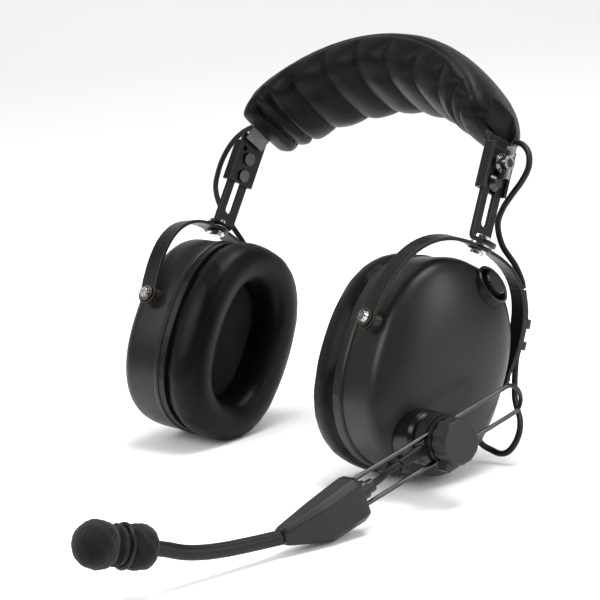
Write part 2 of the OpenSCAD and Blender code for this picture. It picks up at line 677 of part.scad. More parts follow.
// Free stretches from the pad to the stirrup, head frame of the near side
UPPER_NEAR = [
  [86.6, 11, 104.4], [91.8, 11, 103], [96.6, 11, 98.6], [98.6, 11, 92], [96, 12, 85.6], [91, 13.5, 79.4],
  [86, 15.5, 73], [83.5, 18, 66], [86, 22, 57.5], [91.4, 27.6, 50.5], [95, 31, 44.2], [96, 32.4, 40.6],
];
UPPER_FAR = [
  [85.4, 7, 111.4], [92, 6, 111], [100.5, 5.5, 107.6], [107.4, 5.5, 101.6], [112, 6, 93], [113.4, 6.5, 84],
  [112, 7, 75], [107.4, 10, 66], [101.6, 17, 57.5], [97.8, 25.4, 50.5], [96.4, 30.4, 44.6], [96, 32.4, 40.6],
];
module crossover_cable_upper(s) {
  color("#131314") side(s) tube(s > 0 ? UPPER_NEAR : UPPER_FAR, cable_r, [0, 1, 0]);
}
// Along the stirrup's rear leg, then the slack loop into the cup's gland, cup frame
LOWER = [
  [7.6, 33.2, 40.6], [6.3, 39.3, 31.8], [4.8, 42.4, 22.5], [3.2, 44.2, 12.5], [2.2, 46.8, 5.6], [2, 48.8, 0],
  [4, 49.6, -6.5], [8, 49.2, -11.5], [12.2, 48.6, -16], [14.6, 48.2, -21], [14.6, 48.2, -26], [12, 48.8, -30.4],
  [8.2, 49.2, -32.8], [4, 49, -33.2], [0.4, 47.6, -32.4], [-1.6, 45.2, -31.8], [-2, 41.7, -30.8],
];
module crossover_cable_lower(s) {
  color("#131314") cup(s) tube(LOWER, cable_r, [1, 0, 0]);
}
// Sleeves on the rear leg that the cable is drawn through
CLIP_UP = 2.3;
CLIPS = [[38.7, 27, 18.2], [41, 17.5, 10.1]];
module cable_clips(s) {
  color("#0e0e0f") stirrup_frame(s) for (c = CLIPS)
    translate([1, c[0], c[1] - stirrup_h]) rotate([c[2], 0, 0]) difference() {
      union() {
        translate([0, CLIP_UP, -2]) cylinder(r = cable_r + 1.7, h = 4);
        translate([-cable_r - 1.7, -0.2, -2]) cube([2 * cable_r + 3.4, CLIP_UP + 0.2, 4]);
      }
      translate([0, CLIP_UP, -3]) cylinder(r = cable_r + 0.7, h = 6);
    }
}

head_pad();
headband_spring();
crossover_cable_band();
band_bracket(1);  // band_bracket_near
clamp_studs(1);  // clamp_studs_near
thumb_nut(1);  // thumb_nut_near
arm(1);  // arm_near
swivel_rivet(1);  // swivel_rivet_near
stirrup(1);  // stirrup_near
cable_clips(1);  // cable_clips_near
crossover_cable_upper(1);  // crossover_cable_upper_near
crossover_cable_lower(1);  // crossover_cable_lower_near
pivot_screws(1);  // pivot_screws_near
pivot_washers(1);  // pivot_washers_near
cup_shell(1);  // cup_shell_near
baffle_plate(1);  // baffle_plate_near
ear_seal(1);  // ear_seal_near
ear_cloth(1);  // ear_cloth_near
speaker_frame(1);  // speaker_frame_near
speaker_magnet(1);  // speaker_magnet_near
acoustic_foam(1);  // acoustic_foam_near
cable_gland(1);  // cable_gland_near
band_bracket(-1);  // band_bracket_far
clamp_studs(-1);  // clamp_studs_far
thumb_nut(-1);  // thumb_nut_far
arm(-1);  // arm_far
swivel_rivet(-1);  // swivel_rivet_far
stirrup(-1);  // stirrup_far
cable_clips(-1);  // cable_clips_far
crossover_cable_upper(-1);  // crossover_cable_upper_far
crossover_cable_lower(-1);  // crossover_cable_lower_far
pivot_screws(-1);  // pivot_screws_far
pivot_washers(-1);  // pivot_washers_far
cup_shell(-1);  // cup_shell_far
baffle_plate(-1);  // baffle_plate_far
ear_seal(-1);  // ear_seal_far
ear_cloth(-1);  // ear_cloth_far
speaker_frame(-1);  // speaker_frame_far
speaker_magnet(-1);  // speaker_magnet_far
acoustic_foam(-1);  // acoustic_foam_far
cable_gland(-1);  // cable_gland_far
volume_bezel();
volume_pot();
volume_knob();
amplifier_board();
lead_gland();
boom_base();
swivel_bolt();
clamp_inner();
clamp_outer();
clamp_knob();
boom_wire();
boom_block();
mic_cable();
mic_cable_boot();
gooseneck();
mic_housing();
mic_capsule();
windscreen();
windscreen_band();
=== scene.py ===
"""Looks of the headset: leatherette pad and seals, satin domes, painted straps and bright hardware."""
import json
import math

import bpy
import bmesh
import numpy as np
from mathutils import Matrix, Vector


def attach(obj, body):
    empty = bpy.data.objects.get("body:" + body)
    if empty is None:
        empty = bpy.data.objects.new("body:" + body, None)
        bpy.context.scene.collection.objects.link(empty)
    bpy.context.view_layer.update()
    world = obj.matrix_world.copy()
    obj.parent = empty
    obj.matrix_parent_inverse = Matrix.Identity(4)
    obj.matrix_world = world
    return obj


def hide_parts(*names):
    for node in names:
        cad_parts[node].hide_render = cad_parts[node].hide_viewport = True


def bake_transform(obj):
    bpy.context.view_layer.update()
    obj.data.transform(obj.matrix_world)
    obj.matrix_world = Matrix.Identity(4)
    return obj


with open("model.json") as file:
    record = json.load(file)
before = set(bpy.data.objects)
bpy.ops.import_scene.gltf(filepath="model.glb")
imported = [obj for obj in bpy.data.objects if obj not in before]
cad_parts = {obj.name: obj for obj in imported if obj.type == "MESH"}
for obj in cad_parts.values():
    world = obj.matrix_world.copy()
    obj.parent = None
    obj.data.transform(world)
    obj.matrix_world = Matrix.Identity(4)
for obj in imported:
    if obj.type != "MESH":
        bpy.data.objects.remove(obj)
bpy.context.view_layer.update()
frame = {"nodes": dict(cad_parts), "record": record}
NODES = frame["nodes"]
JOINTS = {j["name"]: j for j in frame["record"]["behaviour"]["joints"]}
scene = bpy.context.scene
MM = 0.001
rad = math.radians


def move(x, y, z):
    return Matrix.Translation((x * MM, y * MM, z * MM))


def turn(angle, axis):
    return Matrix.Rotation(rad(angle), 4, axis)


# ---- Frames, in step with the CAD: head, headband, stirrup, cup, boom, microphone ----
LEAN, BAND_TIP, STIRRUP_LEAN, TOE = 29.0, 13.0, 9.5, 8.0
PIVOT_X, STIRRUP_H, STRAP_Z = 84.0, 50.7, 98.0
OVAL_POWER, CUP_DROP, FACE_X, RIM_X = 2.4, 8.0, 18.0, 15.0
BOOM_ANGLE, MIC_RISE, BOOM_X = 43.5, 31.0, 33.5
pivot = Vector(JOINTS["cup_tilt_near"]["pos_m"])
HEAD = Matrix.Translation(pivot - Vector((PIVOT_X * MM, 0, 0))) @ turn(-LEAN, "X")
BAND = HEAD @ move(0, 0, STRAP_Z) @ turn(-BAND_TIP, "X") @ move(0, 0, -STRAP_Z)


def side(s):
    return HEAD if s > 0 else HEAD @ Matrix.Diagonal((-1, 1, 1, 1))


def stirrup(s):
    x = PIVOT_X + STIRRUP_H * math.sin(rad(STIRRUP_LEAN))
    z = STIRRUP_H * math.cos(rad(STIRRUP_LEAN))
    return side(s) @ move(x, 0, z) @ turn(STIRRUP_LEAN, "Y") @ turn(-TOE, "Z")


def cup(s):
    return stirrup(s) @ move(0, 0, -STIRRUP_H) @ turn(-STIRRUP_LEAN, "Y")


BOOM = cup(1) @ move(0, -8, -42) @ turn(BOOM_ANGLE, "X")
MIC = BOOM @ move(BOOM_X, -146.4, 25.6) @ turn(-MIC_RISE, "X") @ turn(90, "X")
SIDES = ((1, "near"), (-1, "far"))


# ---- Camera ----
camera = bpy.data.objects.new("camera", bpy.data.cameras.new("camera"))
scene.collection.objects.link(camera)
right = Vector((0.67559, 0.732091, -0.087297))
up = Vector((-0.070665, 0.182156, 0.980727))
ahead = Vector((-0.733883, 0.656401, -0.174796))
place = Matrix((right, up, -ahead)).transposed().to_4x4()
place.translation = Vector((0.607914, -0.502372, 0.222668))
camera.matrix_world = place
camera.data.sensor_width = 36
camera.data.lens = 105.4
camera.data.clip_end = 20
scene.camera = camera


# ---- Materials ----
def socket(node, name, value):
    node.inputs[name].default_value = value


class Paint:
    """Builds one node material: colour with drift, roughness with drift, and layered bump."""

    def __init__(self, name, color, rough, metallic=0.0, specular=0.27):
        self.m = bpy.data.materials.new(name)
        self.m.use_nodes = True
        self.t = self.m.node_tree
        self.b = self.t.nodes["Principled BSDF"]
        socket(self.b, "Base Color", (*color, 1))
        socket(self.b, "Roughness", rough)
        socket(self.b, "Metallic", metallic)
        socket(self.b, "Specular IOR Level", specular)
        self.color, self.rough = color, rough
        self.coord = self.t.nodes.new("ShaderNodeTexCoord")
        self.normal = None

    def noise(self, scale, detail=4.0, rough=0.55, stretch=(1, 1, 1)):
        mapping = self.t.nodes.new("ShaderNodeMapping")
        mapping.inputs["Scale"].default_value = stretch
        self.t.links.new(self.coord.outputs["Object"], mapping.inputs["Vector"])
        n = self.t.nodes.new("ShaderNodeTexNoise")
        socket(n, "Scale", scale)
        socket(n, "Detail", detail)
        socket(n, "Roughness", rough)
        self.t.links.new(mapping.outputs["Vector"], n.inputs["Vector"])
        return n.outputs["Fac"]

    def cells(self, scale, feature="DISTANCE_TO_EDGE"):
        n = self.t.nodes.new("ShaderNodeTexVoronoi")
        n.feature = feature
        socket(n, "Scale", scale)
        self.t.links.new(self.coord.outputs["Object"], n.inputs["Vector"])
        return n.outputs["Distance"]

    def ramp(self, value, low, high, a, b):
        r = self.t.nodes.new("ShaderNodeMapRange")
        for k, v in (("From Min", low), ("From Max", high), ("To Min", a), ("To Max", b)):
            socket(r, k, v)
        self.t.links.new(value, r.inputs["Value"])
        return r.outputs["Result"]

    def drift(self, scale, lift, rough_by=0.08):
        """Slow change of colour and roughness over the surface."""
        n = self.noise(scale, 5.0)
        mix = self.t.nodes.new("ShaderNodeMix")
        mix.data_type = "RGBA"
        mix.inputs["A"].default_value = (*self.color, 1)
        mix.inputs["B"].default_value = (*(min(1, c * lift) for c in self.color), 1)
        self.t.links.new(self.ramp(n, 0.35, 0.7, 0, 1), mix.inputs["Factor"])
        self.t.links.new(mix.outputs["Result"], self.b.inputs["Base Color"])
        rough = self.ramp(n, 0.3, 0.7, self.rough - rough_by, self.rough + rough_by)
        self.t.links.new(rough, self.b.inputs["Roughness"])
        return mix

    def bump(self, value, strength, distance):
        n = self.t.nodes.new("ShaderNodeBump")
        socket(n, "Strength", strength)
        socket(n, "Distance", distance)
        self.t.links.new(value, n.inputs["Height"])
        if self.normal is not None:
            self.t.links.new(self.normal, n.inputs["Normal"])
        self.normal = n.outputs["Normal"]
        self.t.links.new(self.normal, self.b.inputs["Normal"])

    def round_edges(self, radius):
        n = self.t.nodes.new("ShaderNodeBevel")
        n.samples = 6
        socket(n, "Radius", radius)
        self.normal = n.outputs["Normal"]
        self.t.links.new(self.normal, self.b.inputs["Normal"])

    def worn(self, mix, color, radius=0.0006):
        """Rubbed edges, found where a rounded normal leaves the flat one."""
        flat = self.t.nodes.new("ShaderNodeNewGeometry")
        bevel = self.t.nodes.new("ShaderNodeBevel")
        bevel.samples = 6
        socket(bevel, "Radius", radius)
        dot = self.t.nodes.new("ShaderNodeVectorMath")
        dot.operation = "DOT_PRODUCT"
        self.t.links.new(flat.outputs["Normal"], dot.inputs[0])
        self.t.links.new(bevel.outputs["Normal"], dot.inputs[1])
        top = self.t.nodes.new("ShaderNodeMix")
        top.data_type = "RGBA"
        self.t.links.new(self.ramp(dot.outputs["Value"], 0.98, 0.8, 0, 0.75), top.inputs["Factor"])
        self.t.links.new(mix.outputs["Result"], top.inputs["A"])
        top.inputs["B"].default_value = (*color, 1)
        self.t.links.new(top.outputs["Result"], self.b.inputs["Base Color"])


def leatherette(name, color, rough, grain):
    p = Paint(name, color, rough, specular=0.13)
    p.drift(28, 1.7, 0.07)
    p.bump(p.noise(60, 3.0), 0.25, 0.0016)
    p.bump(p.cells(grain), 0.35, 0.00025)
    p.bump(p.noise(grain * 1.8, 2.0), 0.12, 0.0002)
    socket(p.b, "Sheen Weight", 0.02)
    socket(p.b, "Sheen Roughness", 0.4)
    return p.m


def moulded(name, color, rough, grain=2600, strength=0.12, edge=0.0003, lift=1.25):
    p = Paint(name, color, rough)
    p.drift(22, lift, 0.05)
    if edge:
        p.round_edges(edge)
    p.bump(p.noise(grain, 3.0), strength, 0.00008)
    return p.m


def painted(name, color, rough):
    p = Paint(name, color, rough, specular=0.2)
    mix = p.drift(35, 1.5, 0.07)
    p.worn(mix, (0.11, 0.11, 0.112))
    p.round_edges(0.00035)
    p.bump(p.noise(900, 4.0), 0.15, 0.00012)
    return p.m


def metal(name, color, rough, brushed=False):
    p = Paint(name, color, rough, metallic=1.0)
    p.drift(60, 0.75, 0.06)
    p.round_edges(0.00025)
    stretch, strength = ((8, 1, 1), 0.1) if brushed else ((1, 1, 1), 0.03)
    p.bump(p.noise(1200, 3.0, stretch=stretch), strength, 0.00005)
    return p.m


def rubber(name, color, rough):
    p = Paint(name, color, rough, specular=0.25)
    p.drift(80, 1.6, 0.06)
    p.bump(p.noise(1500, 3.0), 0.2, 0.0001)
    return p.m


def foam(name, color, pores):
    p = Paint(name, color, 0.95, specular=0.12)
    p.drift(120, 1.9, 0.03)
    p.bump(p.noise(420, 4.0, 0.7), 0.35, 0.0005)
    p.bump(p.cells(pores, "F1"), 0.45, 0.0004)
    socket(p.b, "Sheen Weight", 0.12)
    return p.m


def cloth(name, color, thread):
    p = Paint(name, color, 0.9, specular=0.2)
    p.drift(90, 1.8, 0.03)
    for direction in ("X", "Z"):
        w = p.t.nodes.new("ShaderNodeTexWave")
        w.bands_direction = direction
        socket(w, "Scale", thread)
        p.t.links.new(p.coord.outputs["Object"], w.inputs["Vector"])
        p.bump(w.outputs["Fac"], 0.4, 0.0002)
    return p.m


MATERIALS = {
    "pad_leatherette": leatherette("pad_leatherette", (0.0021, 0.0021, 0.0023), 0.42, 1100),
    "seal_leatherette": leatherette("seal_leatherette", (0.0019, 0.0019, 0.0021), 0.4, 1500),
    "shell_plastic": moulded("shell_plastic", (0.0115, 0.0111, 0.0104), 0.36, 2200, 0.1, 0.0),
    "black_plastic": moulded("black_plastic", (0.006, 0.006, 0.0063), 0.4),
    "strap_paint": painted("strap_paint", (0.0042, 0.0042, 0.0044), 0.38),
    "spring_steel": metal("spring_steel", (0.12, 0.12, 0.125), 0.38, True),
    "bright_chrome": metal("bright_chrome", (0.5, 0.5, 0.51), 0.2),
    "brass_washer": metal("brass_washer", (0.13, 0.095, 0.06), 0.36),
    "cable_rubber": rubber("cable_rubber", (0.005, 0.005, 0.0053), 0.46),
    "black_cloth": cloth("black_cloth", (0.006, 0.006, 0.006), 900),
    "speaker_steel": painted("speaker_steel", (0.012, 0.012, 0.012), 0.5),
    "magnet_steel": metal("magnet_steel", (0.42, 0.42, 0.43), 0.3),
    "open_foam": foam("open_foam", (0.03, 0.03, 0.03), 1200),
    "pot_steel": metal("pot_steel", (0.45, 0.45, 0.45), 0.3),
    "knob_plastic": moulded("knob_plastic", (0.007, 0.007, 0.0073), 0.42),
    "board_laminate": moulded("board_laminate", (0.008, 0.06, 0.025), 0.35),
    "swivel_plastic": moulded("swivel_plastic", (0.0035, 0.0035, 0.0038), 0.2, 1500, 0.05, 0.0006),
    "grey_plastic": moulded("grey_plastic", (0.0165, 0.0161, 0.0148), 0.48, 1800, 0.25, 0.0005),
    "wire_steel": metal("wire_steel", (0.055, 0.055, 0.058), 0.26, True),
    "block_plastic": moulded("block_plastic", (0.0095, 0.0095, 0.0099), 0.33, 1800, 0.15, 0.0008),
    "neck_rubber": rubber("neck_rubber", (0.0045, 0.0045, 0.0048), 0.4),
    "mic_metal": metal("mic_metal", (0.04, 0.04, 0.04), 0.4),
    "windscreen_foam": foam("windscreen_foam", (0.0055, 0.0055, 0.0058), 2300),
}
SLOT_OF = {s["node"]: s["material_slot"] for s in frame["record"]["subparts"]}
# Painted shade: the clamp studs take a darker copy of the bright chrome, so their heads look shaded and give
# no bright reflection
SHADED_STUD_CHROME = metal("shaded_stud_chrome", (0.075, 0.075, 0.078), 0.3)
for name, o in NODES.items():
    o.data.materials.clear()
    o.data.materials.append(SHADED_STUD_CHROME if name.startswith("clamp_studs") else MATERIALS[SLOT_OF[name]])


# ---- Mesh helpers ----
def spow(v, e):
    return math.copysign(abs(v) ** e, v)


def oval(a, b, n):
    e = 2 / OVAL_POWER
    turns = [2 * math.pi * i / n for i in range(n)]
    return [(a * spow(math.cos(q), e), b * spow(math.sin(q), e)) for q in turns]


def skin(name, rings, slot, loop=False, caps=True, place=None):
    """A closed mesh through equal rings of points in millimetres, placed by a frame."""
    bm = bmesh.new()
    rows = [[bm.verts.new(Vector(p) * MM) for p in ring] for ring in rings]
    m = len(rings[0])
    pairs = list(zip(rows, rows[1:])) + ([(rows[-1], rows[0])] if loop else [])
    for a, b in pairs:
        for j in range(m):
            bm.faces.new((a[j], a[(j + 1) % m], b[(j + 1) % m], b[j]))
    if caps and not loop:
        bm.faces.new(rows[0][::-1])
        bm.faces.new(rows[-1])
    mesh = bpy.data.meshes.new(name)
    if place is not None:
        bm.transform(place)
    bmesh.ops.recalc_face_normals(bm, faces=bm.faces[:])
    bm.to_mesh(mesh)
    bm.free()
    o = bpy.data.objects.new(name, mesh)
    scene.collection.objects.link(o)
    mesh.materials.append(MATERIALS[slot])
    smooth(o)
    return o


def smooth(o, angle=None):
    o.data.polygons.foreach_set("use_smooth", [True] * len(o.data.polygons))
    if angle:
        o.data.set_sharp_from_angle(angle=rad(angle))
    o.data.update()


def applied(o):
    """Bakes an object's modifiers into its mesh."""
    bpy.context.view_layer.update()
    done = bpy.data.meshes.new_from_object(o.evaluated_get(bpy.context.evaluated_depsgraph_get()))
    o.modifiers.clear()
    o.data = done
    return o


def coords(o):
    return np.array([v.co for v in o.data.vertices], float).reshape(-1, 3)


def set_coords(o, co):
    o.data.vertices.foreach_set("co", np.asarray(co, np.float32).ravel())
    o.data.update()


def inflate(o, voxel, cap, pressure=4.0):
    """Remeshes a pad and lets cloth pressure fill it, moving no point further than cap."""
    m = o.modifiers.new("remesh", "REMESH")
    m.mode, m.voxel_size = "VOXEL", voxel
    applied(o)
    start = coords(o)
    c = o.modifiers.new("cloth", "CLOTH")
    c.settings.use_pressure = True
    c.settings.uniform_pressure_force = pressure
    c.settings.effector_weights.gravity = 0
    c.settings.quality = 5
    for f in range(1, 21):
        scene.frame_set(f)
    settled = o.evaluated_get(bpy.context.evaluated_depsgraph_get())
    end = np.array([v.co for v in settled.data.vertices], float)
    o.modifiers.clear()
    scene.frame_set(1)
    d = end - start
    size = np.linalg.norm(d, axis=1, keepdims=True)
    set_coords(o, start + d * np.minimum(1, cap / np.maximum(size, 1e-9)))
    s = o.modifiers.new("smooth", "SUBSURF")
    s.levels = s.render_levels = 1
    applied(o)
    smooth(o)
    return o


def cut_away(o, bm):
    """Takes a cutter's volume, given as a bmesh, out of a piece."""
    bmesh.ops.recalc_face_normals(bm, faces=bm.faces[:])
    mesh = bpy.data.meshes.new("cutter")
    bm.to_mesh(mesh)
    bm.free()
    cutter = bpy.data.objects.new("cutter", mesh)
    scene.collection.objects.link(cutter)
    m = o.modifiers.new("cut", "BOOLEAN")
    m.operation, m.solver, m.object = "DIFFERENCE", "EXACT", cutter
    applied(o)
    bpy.data.objects.remove(cutter)


def box_cut(o, place, low, high):
    """Cuts a box, given by two corners in millimetres."""
    bm = bmesh.new()
    size = [(b - a) * MM for a, b in zip(low, high)]
    center = Matrix.Translation([(a + b) / 2 * MM for a, b in zip(low, high)])
    bmesh.ops.create_cube(bm, size=1, matrix=place @ center @ Matrix.Diagonal((*size, 1)))
    cut_away(o, bm)


def cylinder_cut(o, place, r, low, high):
    """Cuts a cylinder about the z axis of a frame, in millimetres."""
    bm = bmesh.new()
    center = Matrix.Translation((0, 0, (high + low) / 2 * MM))
    bmesh.ops.create_cone(bm, cap_ends=True, segments=64, radius1=r * MM, radius2=r * MM,
                          depth=(high - low) * MM, matrix=place @ center)
    cut_away(o, bm)


def tube_mesh(name, path, radius, slot, n=14, scale=None):
    """A round tube swept along smooth points given in the row frame, in metres."""
    p = [Vector(q) for q in path]
    t = [(p[min(i + 1, len(p) - 1)] - p[max(i - 1, 0)]).normalized() for i in range(len(p))]
    side_dir = t[0].orthogonal().normalized()
    rings = []
    for i, q in enumerate(p):
        side_dir = (side_dir - side_dir.dot(t[i]) * t[i]).normalized()
        other = t[i].cross(side_dir)
        r = radius * (scale(i / (len(p) - 1)) if scale else 1)
        turns = [2 * math.pi * j / n for j in range(n)]
        rings.append([(q + r * (math.cos(b) * side_dir + math.sin(b) * other)) / MM for b in turns])
    return skin(name, rings, slot)


def spline(points, per=8):
    """Points of a smooth curve through the given points."""
    p = [Vector(q) for q in points]
    p = [2 * p[0] - p[1]] + p + [2 * p[-1] - p[-2]]
    out = []
    for a, b, c, d in zip(p, p[1:], p[2:], p[3:]):
        for k in range(per):
            u = k / per
            bend = (2 * a - 5 * b + 4 * c - d) * u * u
            swing = (3 * b - a - 3 * c + d) * u ** 3
            out.append(0.5 * (2 * b + (c - a) * u + bend + swing))
    return out + [p[-2]]


# ---- Free cables: the crossover cable outside the pad, both ends into the headset ----
CABLE_R = 1.45 * MM
UPPER = {
    1: [(86.6, 11, 104.4), (91.8, 11, 103), (96.6, 11, 98.6), (98.6, 11, 92), (96, 12, 85.6),
        (91, 13.5, 79.4), (86, 15.5, 73), (83.5, 18, 66), (86, 22, 57.5), (91.4, 27.6, 50.5),
        (95, 31, 44.2), (96, 32.4, 40.6)],
    -1: [(85.4, 7, 111.4), (92, 6, 111), (100.5, 5.5, 107.6), (107.4, 5.5, 101.6), (112, 6, 93),
         (113.4, 6.5, 84), (112, 7, 75), (107.4, 10, 66), (101.6, 17, 57.5), (97.8, 25.4, 50.5),
         (96.4, 30.4, 44.6), (96, 32.4, 40.6)],
}
LOWER = [
    (7.6, 33.2, 40.6), (6.3, 39.3, 31.8), (4.8, 42.4, 22.5), (3.2, 44.2, 12.5), (2.2, 46.8, 5.6),
    (2, 48.8, 0), (4, 49.6, -6.5), (8, 49.2, -11.5), (12.2, 48.6, -16), (14.6, 48.2, -21),
    (14.6, 48.2, -26), (12, 48.8, -30.4), (8.2, 49.2, -32.8), (4, 49, -33.2), (0.4, 47.6, -32.4),
    (-1.6, 45.2, -31.8), (-2, 41.7, -30.8),
]
# Places along the smoothed routes: where the upper cable passes from arm to stirrup, and where
# the lower one starts and ends its turn from stirrup to cup
UPPER_HALF, LOWER_FROM, LOWER_TO = 48, 24, 56


def free_cable(name, node, path):
    o = tube_mesh(name, path, CABLE_R, "cable_rubber")
    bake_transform(o)
    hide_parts(node)


for s, end in SIDES:
    route = spline([side(s) @ (Vector(p) * MM) for p in UPPER[s]])
    parts = (
        ("a", route[:UPPER_HALF + 1], "band_end_" + end, "arm_" + end),
        ("b", route[UPPER_HALF:], "arm_" + end, "stirrup_" + end),
    )
    for tag, path, top, bottom in parts:
        free_cable("crossover_upper_%s_%s" % (end, tag), "crossover_cable_upper_" + end, path)
    route = spline([cup(s) @ (Vector(p) * MM) for p in LOWER])
    free_cable("crossover_lower_" + end, "crossover_cable_lower_" + end, route)


# ---- Head pad: a padded sleeve with sewn ribs underneath ----
CROWN_R, SIDE_R, CROWN_Z, ARC_JOIN = 105.0, 45.2, 149.0, 40.0
PAD_END, PAD_TOP = 72.0, 6.0
PAD_W, PAD_END_W, PAD_T, PAD_END_T = 25.0, 9.5, 25.0, 14.5
RIBS = 11
PUFF_W, PUFF_T = 1.2, 2.4
GROOVE, CREASE, GATHER, SEAM = 3.2, 0.6, 0.1, 0.4
VOXEL, PAD_SWELL, SEAL_SWELL = 0.004, 0.0014, 0.0018


def arch(a, d):
    """Place on the arch at an angle, a distance outside the spring."""
    x, z = 0.0, CROWN_Z - CROWN_R
    r = CROWN_R
    if abs(a) > ARC_JOIN:
        x = math.copysign((CROWN_R - SIDE_R) * math.sin(rad(ARC_JOIN)), a)
        z += (CROWN_R - SIDE_R) * math.cos(rad(ARC_JOIN))
        r = SIDE_R
    return x + (r + d) * math.sin(rad(a)), z + (r + d) * math.cos(rad(a))


def arch_angle(x, z):
    """Arch angle, and distance outside the spring, of points in the headband's frame."""
    z0 = CROWN_Z - CROWN_R
    sx = (CROWN_R - SIDE_R) * math.sin(rad(ARC_JOIN))
    sz = (CROWN_R - SIDE_R) * math.cos(rad(ARC_JOIN))
    a = np.degrees(np.arctan2(x, z - z0))
    d = np.hypot(x, z - z0) - CROWN_R
    b = np.degrees(np.arctan2(np.abs(x) - sx, z - z0 - sz))
    e = np.hypot(np.abs(x) - sx, z - z0 - sz) - SIDE_R
    at_side = np.abs(a) > ARC_JOIN
    return np.where(at_side, np.sign(x) * b, a), np.where(at_side, e, d)


def pad_size(a):
    """Half width and thickness of the pad at an arch angle."""
    c = math.cos(rad(a))
    return PAD_END_W + (PAD_W - PAD_END_W) * c ** 0.6, PAD_END_T + (PAD_T - PAD_END_T) * c


# Room in the pad's ends for the tops of the arms, in the frame of the riveted strap
STRAP_X, STRAP_Y, STRAP_LEAN = 85.6, 1.5, 3.0
ARM_ROOM_X, ARM_ROOM_DEEP, ARM_ROOM_W, ARM_ROOM_H = -2.55, 16, 18.4, 24.4


def arm_room(s):
    return side(s) @ move(STRAP_X, STRAP_Y, STRAP_Z) @ turn(-STRAP_LEAN, "Y")


def head_pad(steps=73, around=40):
    rings = []
    for i in range(steps):
        a = -PAD_END + 2 * PAD_END * i / (steps - 1)
        w, t = pad_size(a)
        w, t = w + PUFF_W, t + PUFF_T * math.cos(rad(a)) ** 2
        ring = []
        for j in range(around):
            q = 2 * math.pi * j / around
            x, z = arch(a, PAD_TOP - t / 2 + t / 2 * spow(math.sin(q), 0.8))
            ring.append((x, w * spow(math.cos(q), 0.8), z))
        rings.append(ring)
    o = skin("head_pad_cover", rings, "pad_leatherette")
    inflate(o, VOXEL, PAD_SWELL)
    s = o.modifiers.new("smooth", "SUBSURF")
    s.levels = s.render_levels = 1
    applied(o)
    co = coords(o) / MM
    a, d = arch_angle(co[:, 0], co[:, 2])
    w, t = np.array([pad_size(v) for v in np.clip(a, -PAD_END, PAD_END)]).T
    mid = PAD_TOP - t / 2
    under = np.clip((mid + 0.22 * t - d) / (0.5 * t), 0, 1)
    under = under * under * (3 - 2 * under)
    pitch = 2 * PAD_END / RIBS
    phase = np.abs(np.sin(np.pi * (a + PAD_END) / pitch))
    groove = (1 - phase ** 0.6) * under
    crease = np.exp(-(phase / 0.1) ** 2) * under
    across = np.clip(np.abs(co[:, 1]) / w, 0, 1)
    waves = np.sin(1.7 * co[:, 1] + 2.1 * np.sin(0.35 * a))
    gather = GATHER * waves * np.exp(-(phase / 0.45) ** 2) * under
    push = GROOVE * groove + CREASE * crease + gather
    ox, oz = np.sin(np.radians(a)), np.cos(np.radians(a))
    deep = np.clip((mid - d) / (0.5 * t), -1, 1)
    co[:, 0] += ox * push * np.clip(deep + 0.4, 0, 1)
    co[:, 2] += oz * push * np.clip(deep + 0.4, 0, 1)
    co[:, 1] -= np.sign(co[:, 1]) * push * 0.8 * across ** 3 * (1 - np.clip(deep, 0, 1) ** 2)
    seam = np.exp(-((d - (mid + 0.20 * t)) / 0.9) ** 2) * (across > 0.5)
    co[:, 1] -= np.sign(co[:, 1]) * seam * SEAM
    set_coords(o, co * MM)
    o.data.transform(BAND)
    o.data.update()
    low = (ARM_ROOM_X, -ARM_ROOM_W / 2, -2)
    high = (ARM_ROOM_X + ARM_ROOM_DEEP, ARM_ROOM_W / 2, ARM_ROOM_H)
    for s, _ in SIDES:
        box_cut(o, arm_room(s), low, high)
    smooth(o)
    return o


pad = head_pad()
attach(pad, "headband")
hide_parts("head_pad")


# ---- Ear seals: soft rings, squashed where they stand on the table ----
SEAL_SECTION = [
    (-19.4, 2.6), (-21.5, 0.9), (-26, 0.3), (-32, 0.5), (-36.0, 2.4), (-38.4, 6),
    (-39.1, 10), (-38.4, 14.3), (-35.8, 17.8), (-31.5, 19.2), (-25, 19.3), (-19.4, 18.3),
]
SEAL_W, SEAL_H, SEAL_SPARE = 77.2, 103.4, 0.5
PUCKER, PIPING, PIPING_X = 0.35, 0.7, 22.5


def flat_ring(x, a, b, n=128):
    return [(x, y, z - CUP_DROP) for y, z in oval(a, b, n)]


def ear_seal(s, end):
    section = spline([(x, d, 0) for x, d in SEAL_SECTION], 4)
    rings = [
        flat_ring(q[0], SEAL_W / 2 - q[1] - SEAL_SPARE, SEAL_H / 2 - q[1] - SEAL_SPARE, 96)
        for q in section
    ]
    o = skin("ear_seal_cover_" + end, rings, "seal_leatherette", loop=True)
    inflate(o, VOXEL, SEAL_SWELL)
    co = coords(o) / MM
    y, z, x = co[:, 1], co[:, 2] + CUP_DROP, co[:, 0]
    theta = np.arctan2(z, y)
    u, v = np.abs(y) / (SEAL_W / 2), np.abs(z) / (SEAL_H / 2)
    k = (u ** OVAL_POWER + v ** OVAL_POWER) ** (1 / OVAL_POWER)
    inner = np.clip((0.72 - k) / 0.2, 0, 1)
    folds = np.sin(theta * 38 + 1.3 * np.sin(theta * 5))
    pucker = inner * PUCKER * folds * (0.6 + 0.4 * np.sin(theta * 11 + 0.7))
    piping = np.exp(-((x + PIPING_X) / 0.8) ** 2) * np.clip((k - 0.85) / 0.1, 0, 1)
    co[:, 0] -= pucker
    co[:, 1] -= piping * PIPING * y / (SEAL_W / 2)
    co[:, 2] -= piping * PIPING * z / (SEAL_H / 2)
    set_coords(o, co * MM)
    o.data.transform(cup(s))
    if s < 0:
        o.data.flip_normals()
    co = coords(o)
    co[:, 2] = np.maximum(co[:, 2], 0.0)
    set_coords(o, co)
    smooth(o)
    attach(o, "cup_" + end)
    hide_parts("ear_seal_" + end)


for s, end in SIDES:
    ear_seal(s, end)


